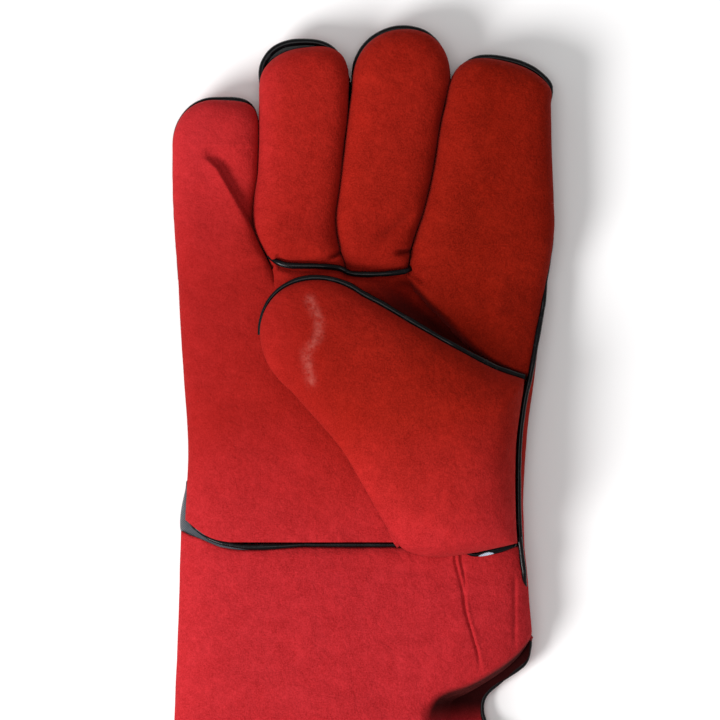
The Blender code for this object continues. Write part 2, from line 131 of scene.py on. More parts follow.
BASE_SEAM = (
    (-35, 90.6), (-31, 88.4), (-26.5, 87.2), (-15.2, 86.9), (-7.6, 86.1), (-3.1, 84.1), (7.5, 83.9),
    (16.9, 85), (18.8, 86.1),
)
INDEX_RIDGE = (
    (40, 66), (45.8, 62.5), (48, 56.5), (52, 48.5), (58.6, 40.2), (67, 32), (74.2, 24.8), (81.6, 19.2),
    (86, 17.6),
)
LITTLE_CREASE = (
    (-62.5, 128.6), (-60, 128.2), (-56.7, 126.9), (-53.7, 124.2), (-50.3, 118.6), (-46.5, 111.8),
    (-42.7, 105), (-40.6, 101), (-37, 94), (-33.6, 89), (-30, 84),
)

# ---- thumb: hinge line from the wrist seam up to the side seam, as in the frame's thumb joint ----
THUMB_JOINT = next(joint for joint in frame["joints"] if joint["name"] == "thumb_swing")
THUMB_FOOT = (THUMB_JOINT["pos_m"][0] / MM, THUMB_JOINT["pos_m"][1] / MM)
THUMB_ALONG = (THUMB_JOINT["axis"][0], THUMB_JOINT["axis"][1])
THUMB_OUT = (-THUMB_ALONG[1], THUMB_ALONG[0])
THUMB_FOLD = (
    (-35, 26.9), (-30.8, 22), (-23.6, 13.8), (-15.1, 5.4), (-8, 1), (-0.7, -0.6), (8.9, 2.6), (24, 9.3),
    (40.6, 16), (62.9, 20.8), (69, 22),
)
THUMB_SIDE_SEAM = ((-35, 27.1), (-29.4, 34.9), (-13.9, 55.8), (-5.2, 70), (0, 78))
THUMB_WELT_EDGE = ((0, 78), (10.8, 74.4), (26, 71.8), (42.5, 69.6), (60.3, 67.6), (69, 66.2))
THUMB_ROUND_FROM = 68
THUMB_ROUND = 26.2
THUMB_HEIGHT = 16.5
THUMB_LOW = 6.5
THUMB_POWER = 2.3


# ---- small mathematics ----
def mix(a, b, t):
    return a + (b - a) * t


def smooth(t):
    t = min(max(t, 0), 1)
    return t * t * (3 - 2 * t)


def ease(value, start, end):
    """0 up to start, 1 from end on, with a smooth run between them."""
    return smooth((value - start) / (end - start))


def rounded(t):
    return math.sin(t * math.pi / 2)


def bell(t):
    return math.exp(-(t**2))


def spread(s, front=True):
    """Runs from -1 to 1 as s runs from 0 to 1, closer at both ends; the other way round on a back."""
    return rounded(2 * s - 1) * (1 if front else -1)


def between(left, right, u):
    """From left at u = -1 to right at u = 1."""
    return mix(left, right, (u + 1) / 2)


def straight(stations, y):
    """Straight-line reading between (y, value) stations."""
    if y <= stations[0][0]:
        return stations[0][1]
    for (y0, v0), (y1, v1) in zip(stations, stations[1:]):
        if y <= y1:
            return mix(v0, v1, (y - y0) / (y1 - y0))
    return stations[-1][1]


def along(stations, y):
    """Smooth reading between (y, value) stations, by cubic pieces whose slopes follow the neighbours."""
    if y <= stations[0][0]:
        return stations[0][1]
    if y >= stations[-1][0]:
        return stations[-1][1]
    last = len(stations) - 1
    i = next(k for k in range(last) if y <= stations[k + 1][0])
    (y0, v0), (y1, v1) = stations[i], stations[i + 1]
    span = y1 - y0

    def slope(k):
        low, high = stations[max(k - 1, 0)], stations[min(k + 1, last)]
        return (high[1] - low[1]) / (high[0] - low[0])

    t = (y - y0) / span
    rise = (2 * t**3 - 3 * t**2 + 1) * v0 + (-2 * t**3 + 3 * t**2) * v1
    return rise + span * ((t**3 - 2 * t**2 + t) * slope(i) + (t**3 - t**2) * slope(i + 1))


def crown(reach, power):
    return (1 - min(abs(reach), 1) ** power) ** (1 / power)


def reach_across(x, left, right):
    return (2 * x - left - right) / (right - left)


def tuck(u, x, z, seam):
    """Curls a leaf's last few millimetres inwards at the seam, so that the welt lies in a groove."""
    return x - math.copysign(SEAM_TUCK * (1 - smooth(abs(z - seam) / 3.2)) * smooth((abs(u) - 0.7) / 0.2), u)


def side_share(y):
    """How far the thumb-side seam has come down from the palm side to the index finger's side."""
    return ease(y, 71, 85)


def ripple(x, y, z, scale, seed):
    return noise.noise(Vector((x / scale + seed, y / scale - seed, z / scale + 2 * seed)))


def unevenness(x, y, z):
    """How far the leather swells or sinks at a point, in broad and small waves."""
    broad = 0.9 * ripple(x, y, z, 42, 5.3) + 0.5 * ripple(x, y, z, 20, 3.1)
    return broad + 0.26 * ripple(x, y, z, 9, 7.7) + 0.09 * ripple(x, y, z, 3.4, 1.3)


def line_distance(x, y, start, end):
    """Signed distance of (x, y) to the right of the line from start to end, and the share along it."""
    dx, dy = end[0] - start[0], end[1] - start[1]
    span = math.hypot(dx, dy)
    rx, ry = x - start[0], y - start[1]
    return (rx * dy - ry * dx) / span, (rx * dx + ry * dy) / span**2


def line_nearness(x, y, line):
    """Distance of (x, y) to a line of points, and its side: 1 to the left of the line and -1 to the right."""
    nearest, side = 99, 1
    here = Vector((x, y))
    for a, b in zip(line, line[1:]):
        start, run = Vector(a), Vector(b) - Vector(a)
        share = min(max((here - start).dot(run) / run.length_squared, 0), 1)
        away = here - start - run * share
        if away.length < nearest:
            nearest = away.length
            side = 1 if run.x * away.y - run.y * away.x > 0 else -1
    return nearest, side


# ---- surfaces of hand and fingers ----
RIDGE_DROP = 15.5
VALLEY_SINK = 11
FOLD_BOTTOM = 9.5
LINING_BOTTOM = 7.5


def strips(y):
    """The five borders of the finger strips at y, from the little finger's outside to the index finger's."""
    return tuple(along(line, y) for line in (LEFT, LITTLE_RING, RING_MIDDLE, MIDDLE_INDEX, INDEX_RIGHT))


def finger_share(x, y):
    """Reach across its finger strip, from -1 to 1, and the strip's number."""
    borders = strips(y)
    number = min(max(sum(x > border for border in borders[1:4]), 0), 3)
    left, right = borders[number], borders[number + 1]
    return reach_across(x, left, right), number


def seam_side(y):
    """Where the palm side's slope ends at the thumb: the outline low down, the seam at the finger bases."""
    return mix(along(RIGHT, y), along(RIGHT_SEAM, y), ease(y, 48, 76))


def palm_level(x, y, right):
    reach = reach_across(x, along(LEFT, y), right)
    return mix(SEAM_Z, along(HAND_TOP, y), crown(reach, HAND_POWER))


def front_z(x, y):
    """Height of the palm side over the hand and, past the finger bases, over the fingers."""
    palm = palm_level(x, y, seam_side(y))
    share = ease(y, FINGERS_FROM, FINGERS_FULL)
    if share == 0:
        return palm
    reach, number = finger_share(x, y)
    top = list(FINGERS.values())[number]["top"]
    return mix(palm, mix(SEAM_Z, top, crown(reach, FINGER_POWER)), share)


def ridge_drop(x, y):
    """How far the index finger's leather has rolled down into the hollow beside the thumb."""
    if not 38 < y < 86:
        return 0
    nearness = ((along(INDEX_RIDGE, y) - x) * 0.75 + 2) / 3.6
    rolled = 1 - math.sqrt(1 - min(max(nearness, 0), 1) ** 2)
    return RIDGE_DROP * rolled * ease(y, 86, 79)


def valley_drop(x, y):
    """How far the palm leather sinks towards the foot of that roll."""
    nearness = smooth((x - along(INDEX_RIDGE, y) + 16) / 12)
    return VALLEY_SINK * nearness * ease(y, 85, 77) * ease(y, 36, 44)


def little_crease(x, y):
    """The palm leather bulges up to a crease from the little finger to the foot of the ring finger."""
    if y < 82 or y > 132:
        return 0
    nearest, side = line_nearness(x, y, LITTLE_CREASE)
    fade = ease(x, -61, -52) * ease(x, -31, -34) * ease(y, 86.5, 90.5)
    step = 0.5 + 0.5 * math.tanh(side * nearest / 0.4)
    return fade * (2 * (1 - step) * math.exp(-nearest / 6) - 3.6 * step * math.exp(-nearest / 7))


def back_level(reach, power):
    """The back's height at a reach of -1 to 1 across it; the overshoot past the floor is cut off flat."""
    return SEAM_Z * (1 - BACK_FLATNESS * crown(reach, power))


def back_z(x, y):
    """Height of the back, flat on z = 0 over the middle and rising to the seams."""
    left, right = along(LEFT, y), mix(along(RIGHT, y), along(INDEX_RIGHT, y), ease(y, 74, 79))
    palm = back_level(reach_across(x, left, right), HAND_POWER)
    share = ease(y, FINGERS_FROM, FINGERS_FULL)
    z = palm
    if share > 0:
        reach, _ = finger_share(x, y)
        z = mix(palm, back_level(reach, FINGER_POWER), share)
    return max(z, FLOOR_CLEAR)


# ---- meshes ----
def grid(mesh, columns, rows, place):
    """Adds a grid of columns by rows cells laid by place(s, t), and returns its vertices."""
    made = bmesh.ops.create_grid(mesh, x_segments=columns, y_segments=rows, size=1)["verts"]
    for vert in made:
        vert.co = Vector(place((vert.co.x + 1) / 2, (vert.co.y + 1) / 2)) * MM
    return made


def finish_mesh(name, mesh, finish, wrinkle=1, thickness=LEATHER, merge=1e-6):
    """Joins touching grids, makes the surface softly uneven, and thickens it."""
    bmesh.ops.remove_doubles(mesh, verts=mesh.verts, dist=merge)
    mesh.normal_update()
    normals = [vert.normal.copy() for vert in mesh.verts]
    for vert, normal in zip(mesh.verts, normals):
        swell = unevenness(*(vert.co / MM)) * mix(0.25, 1, normal.z**2)
        vert.co += normal * swell * wrinkle * MM
        vert.co.z = max(vert.co.z, 0.1 * FLOOR_CLEAR * MM)
    made = add_mesh(name, mesh, finish)
    if thickness:
        shell = made.modifiers.new("thickness", "SOLIDIFY")
        shell.thickness = thickness * MM
        shell.offset = -1
    return made


def sheet(name, finish, *grids, **options):
    """A finished piece made of grids, each given as its columns, rows and place(s, t)."""
    mesh = bmesh.new()
    for columns, rows, place in grids:
        grid(mesh, columns, rows, place)
    return finish_mesh(name, mesh, finish, **options)


def keep_rest(data):
    """Stores each point's place at rest, for the materials to read, so that the grain rides with a pose."""
    rest = data.attributes.get("rest") or data.attributes.new("rest", "FLOAT_VECTOR", "POINT")
    values = [component for vert in data.vertices for component in vert.co]
    rest.data.foreach_set("vector", values)


def tube(name, points, radius, finish, closed=False, swell=0.12, seed=0, width=None, web=None):
    """A welt: a bead swept along points, its radius wandering a little as coated piping does.

    width(point) scales the radius; web(point) gives the inner edge of the flange that the bead is sewn by.
    """
    dense = densify(points, 1, closed)
    data = bpy.data.curves.new(name, "CURVE")
    data.dimensions = "3D"
    data.bevel_depth = radius * MM
    data.bevel_resolution = 4
    data.use_fill_caps = not closed
    spline = data.splines.new("POLY")
    spline.points.add(len(dense) - 1)
    for index, (point, place) in enumerate(zip(spline.points, dense)):
        point.co = (*(value * MM for value in place), 1)
        wander = 1 + swell * noise.noise(Vector((index * 0.23, seed, 0.5)))
        point.radius = wander * (width(place) if width else 1)
    spline.use_cyclic_u = closed
    curve = bpy.data.objects.new(name + "_line", data)
    bpy.context.scene.collection.objects.link(curve)
    bpy.context.view_layer.update()
    seen = curve.evaluated_get(bpy.context.evaluated_depsgraph_get())
    made = bpy.data.meshes.new_from_object(seen)
    bpy.data.objects.remove(curve)
    mesh = bmesh.new()
    mesh.from_mesh(made)
    bpy.data.meshes.remove(made)
    if web:
        edges = (dense, [web(place) for place in dense])
        rows = [[mesh.verts.new(Vector(place) * MM) for place in edge] for edge in edges]
        for k in range(len(dense) - 1):
            mesh.faces.new((rows[0][k], rows[0][k + 1], rows[1][k + 1], rows[1][k]))
    return add_mesh(name, mesh, finish)


def add_mesh(name, mesh, finish):
    """Makes an object of a mesh with its finish."""
    data = bpy.data.meshes.new(name)
    mesh.to_mesh(data)
    mesh.free()
    keep_rest(data)
    data.shade_smooth()
    data.materials.append(finish)
    made = bpy.data.objects.new(name, data)
    bpy.context.scene.collection.objects.link(made)
    return made


def densify(points, step, closed):
    """Points about step apart on a smooth curve through the given ones."""
    count = len(points)
    out = []
    spans = count if closed else count - 1
    for i in range(spans):
        a, b = Vector(points[i]), Vector(points[(i + 1) % count])
        before = Vector(points[i - 1]) if closed or i > 0 else a
        after = Vector(points[(i + 2) % count]) if closed or i + 2 < count else b
        pieces = max(int((b - a).length / step), 1)
        for k in range(pieces):
            t = k / pieces
            value = 2 * a + (b - before) * t + (2 * before - 5 * a + 4 * b - after) * t**2
            value += (3 * a - before - 3 * b + after) * t**3
            out.append(tuple(value / 2))
    if not closed:
        out.append(tuple(points[-1]))
    return out


# ---- leather leaves ----
def sides(finger, y, inset=(0, 0)):
    """X of a finger's two sides at y, each drawn in by its inset."""
    size = FINGERS[finger]
    return along(size["left"], y) + inset[0], along(size["right"], y) - inset[1]


def tip_drift(finger, left, right):
    """How far the middle of a finger's tip moves sideways per millimetre of its length."""
    tip_from = FINGERS[finger]["from"]
    ahead = sides(finger, tip_from + 8)
    return (ahead[0] + ahead[1] - left - right) / 16


def tip_power(finger, across):
    """How square a finger's tip is; the little finger's is squarer beside the ring finger."""
    return LITTLE_INNER_POWER if finger == "little" and across > 0 else FINGERS[finger]["power"]


def tip_place(finger, u, v, inset=0):
    """A point on a finger's tip, by the square-to-disc rule stretched to a fuller outline."""
    size = FINGERS[finger]
    tip_from = size["from"]
    across = u * math.sqrt(1 - v * v / 2)
    up = v * math.sqrt(1 - u * u / 2)
    reach = math.hypot(across, up)
    if reach > 1e-6:
        c, s = abs(across) / reach, abs(up) / reach
        power = tip_power(finger, across)
        fuller = (c**power + s**power) ** (-1 / power)
        across *= fuller
        up *= fuller
    left, right = sides(finger, tip_from, TIP_CLEFT_INSET[finger])
    left, right = left + inset, right - inset
    drift = tip_drift(finger, left, right)
    y = tip_from + up * (size["round"] - inset)
    x = between(left, right, across) + drift * (y - tip_from)
    y += size["shear"] * (x - (left + right) / 2) * smooth(up)
    return x, y, reach


def finger_leaf(finger, front, start, edge_rise=0.9, inset=CLEFT_INSET):
    """Front or back leaf of a finger from y = start to its tip."""
    size = FINGERS[finger]
    tip_from = size["from"]
    share = (tip_from - start) / (tip_from - start + size["round"] * 1.25)

    def place(s, t):
        u = spread(s, front)
        if t < share:
            y = mix(start, tip_from, t / share)
            left, right = sides(finger, y)
            pinch = inset * smooth((y - BASE_SEAM_Y) / 10)
            opened = [value * smooth((y - tip_from + 14) / 14) for value in TIP_CLEFT_INSET[finger]]
            x = between(left + pinch + opened[0], right - pinch - opened[1], u)
            z = (front_z if front else back_z)(between(left, right, u), y)
            in_groove = side_share(y) if finger == "index" and u > 0 else 1
            x = mix(x, tuck(u, x, z, SEAM_Z), in_groove)
            gap = edge_rise * smooth((y - FINGERS_FROM) / 20)
        else:
            v = rounded((t - share) / (1 - share))
            x, y, reach = tip_place(finger, u, v, inset)
            if front:
                z = mix(SEAM_Z, size["top"], crown(reach, FINGER_POWER))
            else:
                z = max(back_level(reach, FINGER_POWER), FLOOR_CLEAR)
            gap = edge_rise
        middle = 1 - crown(u, 4) if t < share else 1 - crown(reach, 4)
        z += (gap if front else -gap) * middle
        return x, y, z

    return place


# the palm leaf's lower edge climbs at the little-finger corner and shows the flange of the welt
WRIST_CORNER = ((-70, 10.6), (-66.1, 8.2), (-62, 4.9), (-58.2, 2.4), (-54, 0.8), (-49.5, 0))


def palm_right(y):
    """The palm leather's right edge: tucked under the index finger's roll, then along the side seam."""
    return mix(along(RIGHT_SEAM, y), along(INDEX_RIDGE, y) + 1.5, ease(y, 43, 48))


def build_palm(red):
    """Palm leaf and the little finger's front, as one leather; the index's front is cut from it too."""
    little_columns, other_columns, hand_rows, tip_rows = 60, 100, 124, 110

    def row_y(x, t, top):
        y = mix(PALM_START_Y, top, t)
        return y + along(WRIST_CORNER, x) * (1 - t) ** 6

    def little_strip(s, t):
        u, row = spread(s), mix(PALM_START_Y, PALM_END_Y, t)
        x = between(along(LEFT, row), along(LITTLE_RING, row), u)
        y = row_y(x, t, PALM_END_Y)
        z = front_z(x, y)
        return tuck(min(u, 0), x, z, SEAM_Z), y, z + little_crease(x, y)

    def other_strip(s, t):
        row = mix(PALM_START_Y, PALM_END_Y, t)
        top = mix(PALM_END_Y, along(BASE_SEAM, mix(-33.3, 18.4, s)) - 0.7, ease(s, 0, 0.03))
        y = row_y(0, t, top)
        x = mix(along(LITTLE_RING, row), palm_right(y), s)
        roll = 2.2 * smooth((y - (top - 3.2)) / 2.6) * ease(t, 0.9, 0.95) * ease(s, 0, 0.05)
        return x, y, front_z(x, y) - roll - valley_drop(x, y) + little_crease(x, y)

    leaf = finger_leaf("little", True, PALM_END_Y)

    def little_tip(s, t):
        x, y, z = leaf(s, t)
        return x, y, z + little_crease(x, y)

    return sheet(
        "palm_and_little_leather", red, (little_columns, hand_rows, little_strip),
        (other_columns, hand_rows, other_strip), (little_columns, tip_rows, little_tip), merge=0.2 * MM,
    )


def build_index_front(red):
    """The index finger's front with the part of the palm below it, down to where the thumb covers it."""

    def lower(s, t):
        y = mix(INDEX_FROM_Y, PALM_END_Y, t)
        left = mix(along(INDEX_RIDGE, y) - 8, along(MIDDLE_INDEX, y), ease(y, 77, 84))
        x = between(left, along(RIGHT_SEAM, y), spread(s))
        sunk = 2.5 * ease(y, 47, 42)
        z = front_z(x, y)
        x = mix(x, tuck(max(2 * s - 1, 0), x, z, SEAM_Z), side_share(y))
        return x, y, max(z - ridge_drop(x, y) - sunk, FOLD_BOTTOM) + index_nick(x, y)

    leaf = finger_leaf("index", True, PALM_END_Y)

    def upper(s, t):
        x, y, z = leaf(s, t)
        return x, y, max(z - ridge_drop(x, y), FOLD_BOTTOM) + index_nick(x, y)

    return sheet("index_front_leather", red, (56, 60, lower), (56, 90, upper), merge=0.2 * MM)


def index_nick(x, y):
    """A short nick in the index leather, beside the end of the finger seam."""
    aside, place = line_distance(x, y, (18.6, 84.4), (25, 79.6))
    return -3.2 * bell(aside / 0.9) * ease(place, 1.2, 0.5) * ease(place, -0.3, 0)


def set_in_wrinkles(finger, x, y):
    """Puckers at the foot of the middle finger and the hooked pucker where ring and middle meet."""
    if finger == "middle":
        soft, place = line_distance(x, y, (5.5, 97), (20.5, 107.5))
        drop = 1.7 * bell(soft / 2.4) * ease(place, 1.2, 0.7) * ease(place, -0.1, 0.3)
        notch, place = line_distance(x, y, (12, 91.8), (20, 92.6))
        drop += 3.4 * bell(notch / 0.9) * ease(place, 0, 0.5)
        return drop
    hook, place = line_distance(x, y, (-11.5, 89.6), (-6.4, 92.6))
    return 2.8 * bell(hook / 0.8) * ease(place, -0.2, 0.3)


def build_set_in(finger, red):
    """A set-in finger front, puffed where it is sewn to the palm."""
    start = BASE_SEAM_Y - 0.5
    leaf = finger_leaf(finger, True, start)

    def place(s, t):
        x, y, z = leaf(s, t)
        seam = along(BASE_SEAM, x) + 0.6 - 4 * ease(x, -30.5, -33.5)
        y += (seam - start) * (1 - smooth((y - start) / 16))
        z -= 2.6 * smooth((seam + 3.6 - y) / 3.4)
        z += 0.9 * bell((y - seam - 8) / 6) * crown(2 * s - 1, 2)
        return x, y, z - set_in_wrinkles(finger, x, y)

    return sheet(finger + "_front_leather", red, (44, 120, place))


def wrist_groove(y, u):
    """The back's leather lifts off the ground beside the wrist seam, so that the welt shows there too."""
    return 1.1 * bell((y - WRIST_Y + 1) / 1.7) * crown(u, 4)


def build_hand_back(red):
    """Back leaf of the hand; on the thumb side it wraps round the edge to the seam on the palm side."""

    def under(s, t):
        u = spread(s, False)
        y = mix(WRIST_Y - 1.3, BACK_SPLIT_Y, t)
        x = between(along(LEFT, y), along(RIGHT, y), u)
        z = back_z(x, y) + wrist_groove(y, u)
        return tuck(min(u, 0), x, z, SEAM_Z), y, z

    def edge(s, t):
        y = mix(WRIST_Y - 1.3, BACK_SPLIT_Y, t)
        right, seam = along(RIGHT, y), along(RIGHT_SEAM, y)
        angle = (1 - s) * math.pi / 2
        top = front_z(min(seam, right - 0.05), y) - SEAM_Z
        x = mix(seam, right, math.cos(angle))
        return x, y, SEAM_Z + max(top, 0.3) * math.sin(angle)

    return sheet("hand_back_leather", red, (80, 60, under), (10, 60, edge), merge=0.02 * MM)


def build_finger_back(finger, red):
    leaf = finger_leaf(finger, False, BACK_SPLIT_Y, edge_rise=0.7)
    return sheet(finger + "_back_leather", red, (30, 90, leaf))


# ---- thumb ----
def thumb_plan(a, p):
    """X and Y of a point a along the thumb's hinge line and p out from it."""
    return tuple(THUMB_FOOT[i] + THUMB_ALONG[i] * a + THUMB_OUT[i] * p for i in (0, 1))


def thumb_base(x, y):
    """The surface the thumb lies on, without the index fold's hollow, so that the thumb spans it."""
    return palm_level(x, y, along(RIGHT, y))


def thumb_station(u, v, inset=0):
    if v <= 1:
        p = mix(0, THUMB_ROUND_FROM, v)
        across, reach = u, abs(u)
    else:
        w = v - 1
        across = u * math.sqrt(1 - w * w / 2)
        up = w * math.sqrt(1 - u * u / 2)
        reach = math.hypot(across, up)
        p = THUMB_ROUND_FROM + up * (THUMB_ROUND - inset)
    from_p = min(p, THUMB_ROUND_FROM)
    left, right = along(THUMB_FOLD, from_p) + inset, along(THUMB_WELT_EDGE, from_p) - inset
    return between(left, right, across), p, reach


def thumb_levels(x, y, p):
    low = THUMB_LOW * ease(p, 0, 30)
    return thumb_base(x, y) + 0.8 + low, low


def build_thumb(red):
    """The thumb leather: root on the hand, upper surface, fold along the lower-left edge, and underside."""
    share = 0.68

    def shell(front):
        def place(s, t):
            u = spread(s, front)
            v = t / share if t < share else 1 + rounded((t - share) / (1 - share))
            a, p, reach = thumb_station(u, v)
            x, y = thumb_plan(a, p)
            middle, low = thumb_levels(x, y, p)
            gap = 0.8 * ease(p, 0, 12) * ease(u, -1, -0.4) * (1 - crown(reach, 4))
            if not front:
                return x, y, middle - gap - low * crown(reach, THUMB_POWER)
            rise = THUMB_HEIGHT - low - 1.2 * ease(p, 40, 90)
            return x, y, middle + gap + rise * crown(reach, THUMB_POWER)

        return place

    def root(s, t):
        u = spread(s)
        p = mix(-34.8, 0, t)
        left, right = along(THUMB_FOLD, p), straight(THUMB_SIDE_SEAM, p)
        a = between(left, right, u)
        x, y = thumb_plan(a, p)
        x = min(x, along(RIGHT_SEAM, y) - 1)
        depth = -p / 36.4
        full = math.sqrt(max(1 - depth**2.6, 0))
        base = min(thumb_base(x, max(y, WRIST_Y)), 30) + 0.8
        if y < WRIST_Y:
            base -= 0.4 * (WRIST_Y - y)
        return x, y, base + THUMB_HEIGHT * crown(u, THUMB_POWER) * full

    grids = (64, 96, shell(True)), (64, 48, shell(False)), (64, 34, root)
    return sheet("thumb_leather_skin", red, *grids, merge=0.02 * MM)


# ---- cuff ----
CUFF_WRINKLE = ((-76, 46), (-61.8, 44.8), (-54.3, 42.9), (-43.7, 39.9), (-35.4, 38.6), (-24.5, 35.8))
CORNER_RIDGE = ((26, -76.5), (30, -73.8), (41.4, -70.4), (52.8, -64), (59, -59.2), (62.4, -55.6), (66, -51))


def cuff_wrinkles(x, y):
    """A pinched double wrinkle down the cuff and a soft pleat beside the thumb-side edge."""
    line = along(CUFF_WRINKLE, y)
    reach = ease(y, -78, -56) * ease(y, -19, -24)
    apart = 2.2 * ease(y, -46, -24)
    z = -1.15 * bell((x - line) / 0.5) + 0.45 * bell((x - line - 0.9) / 0.7)
    z -= 0.8 * smooth(apart) * bell((x - line - apart) / 0.45)
    pleat = -0.55 * bell((x - 58.4) / 0.9) * ease(y, -28, -34) * ease(y, -62, -52)
    across = -0.5 * bell((y + 27.5 + 0.06 * (x - 10)) / 1.6) * ease(x, 34, 24)
    across *= ease(x, 2, 22)
    return z * reach + pleat + across


CUFF_TOP_EDGE = (
    (-69, -13), (-65.7, -14.5), (-60.5, -16.2), (-55.2, -18.3), (-49.9, -19.8), (-41.6, -20.4),
    (-20.8, -19.2), (60, -19.2),
)


def corner_drop(x, y):
    """The side of the cuff folds sharply under past a slanting ridge, and comes back up nearer the hem."""
    if x < 20 or not -125 < y < -50:
        return 0
    under = (along(CORNER_RIDGE, x) - y) * 0.85
    fade = ease(y, -122, -88) * ease(x, 22, 38)
    return 17 * ease(under, -0.6, 5.9) * fade


def cuff_seam(x, y):
    """Height of the cuff's side seams, drawn down at the fold on the thumb side."""
    level = mix(11.5, 14, (WRIST_Y - y) / (WRIST_Y - HEM_Y))
    return level - 8.5 * bell((y + 80) / 21) * ease(x, 8, 52)


def cuff_place(front, inset=0):
    def place(s, t):
        u = spread(s, front)
        y = mix(HEM_Y, WRIST_Y - 0.8, t)
        left, right = along(CUFF_LEFT, y) + inset, along(CUFF_RIGHT, y) - inset
        x = between(left, right, u)
        open_share = (WRIST_Y - y) / (WRIST_Y - HEM_Y)
        seam = cuff_seam(x, y)
        y += (along(CUFF_TOP_EDGE, x) - WRIST_Y + 0.8) * t**10 * (1 if front else 0)
        if not front:
            z = max(seam - (seam - inset) * BACK_FLATNESS * crown(u, HAND_POWER), FLOOR_CLEAR + inset)
            z += wrist_groove(y, u)
            return tuck(u, x, z, seam), y, z
        top = mix(24.5, 31, open_share) - inset
        z = mix(seam, top, crown(u, HAND_POWER))
        groove = bell((y - WRIST_Y) / 2.6) * ease(x, -62, -44)
        z -= 1.6 * groove * crown(u, 2)
        z += cuff_wrinkles(x, y)
        z -= min(corner_drop(x, y), max(z - seam - 0.6, 0))
        return tuck(u, x, z, seam), y, z

    return place


def build_cuff(front, red):
    if front:
        return sheet("cuff_front_leather", red, (340, 170, cuff_place(True)))
    return sheet("cuff_back_leather", red, (100, 90, cuff_place(False)))


def mark(piece, name, value):
    """Keeps value(x, y, z) at each point of a piece under a name that the leather's material reads."""
    layer = piece.data.attributes.new(name, "FLOAT", "POINT")
    layer.data.foreach_set("value", [value(*(vert.co / MM)) for vert in piece.data.vertices])


def build_cuff_lining(grey):
    """The cuff's lining, a tube a little inside the leather and open at the mouth."""
    leather, back = cuff_place(True, LINING_INSET), cuff_place(False, LINING_INSET)

    def fold(y):
        """How near this row is to the side crease: 1 in its middle and 0 away from it."""
        return bell((y + 87) / 30)

    def sunk(x, y, z):
        """The lining sinks under the crease, so that it stays below the leather there."""
        return mix(z, min(z, 2.6), 0.8 * fold(y) * ease(x, 12, 32))

    def inside(x, y):
        """The lining draws back from the crease on the thumb side."""
        return min(x, along(CUFF_RIGHT, y) - LINING_INSET - 10 * fold(y))

    def front(s, t):
        x, y, z = leather(s, t)
        return inside(x, y), y, sunk(x, y, max(z - 0.6, back(1 - s, t)[2] + 0.3))

    def under(s, t):
        x, y, z = back(s, t)
        return inside(x, y), y, sunk(x, y, z)

    return sheet("cuff_lining_cloth", grey, (60, 60, front), (60, 60, under), wrinkle=0.8, **CLOTH_SHEET)


# ---- linings inside the hand ----
def build_hand_lining(grey):
    def shell(front):
        def place(s, t):
            u = spread(s, front)
            y = mix(WRIST_Y + 2, FINGERS_FROM + 4, t)
            x = between(along(LEFT, y) + LINING_INSET, along(RIGHT_SEAM, y) - LINING_INSET, u)
            leather = (front_z if front else back_z)(x, y)
            z = mix(SEAM_Z, leather, 0.74)
            hollow = 15 * bell((x - along(INDEX_RIDGE, y) + 6) / 9) * ease(y, 34, 42)
            return x, y, max(min(z, leather - 3.2) - hollow, LINING_BOTTOM) if front else z

        return place

    grids = (40, 30, shell(True)), (40, 30, shell(False))
    return sheet("hand_lining_cloth", grey, *grids, wrinkle=0.5, **CLOTH_SHEET)


def build_finger_lining(finger, grey):
    fullness = 0.5 if finger == "little" else 0.7

    def shell(front):
        leaf = finger_leaf(finger, front, FINGERS_FROM + 13, edge_rise=0, inset=2.6)

        def place(s, t):
            x, y, z = leaf(s, t)
            return x, y, mix(SEAM_Z, z, fullness)

        return place

    grids = (20, 36, shell(True)), (20, 36, shell(False))
    return sheet(finger + "_lining_cloth", grey, *grids, wrinkle=0.4, **CLOTH_SHEET)


def build_thumb_lining(grey):
    inset = 4

    def shell(front):
        def place(s, t):
            u = spread(s, front)
            v = 0.12 + 0.88 * t / 0.7 if t < 0.7 else 1 + rounded((t - 0.7) / 0.3)
            a, p, reach = thumb_station(u, v, inset)
            x, y = thumb_plan(a, p)
            middle, low = thumb_levels(x, y, p)
            centre = middle - low + THUMB_HEIGHT / 2
            half = THUMB_HEIGHT * 0.32 * crown(reach, THUMB_POWER)
            return x, y, centre + (half if front else -half)

        return place

    grids = (26, 36, shell(True)), (26, 36, shell(False))
    return sheet("thumb_lining_cloth", grey, *grids, wrinkle=0.4, **CLOTH_SHEET)


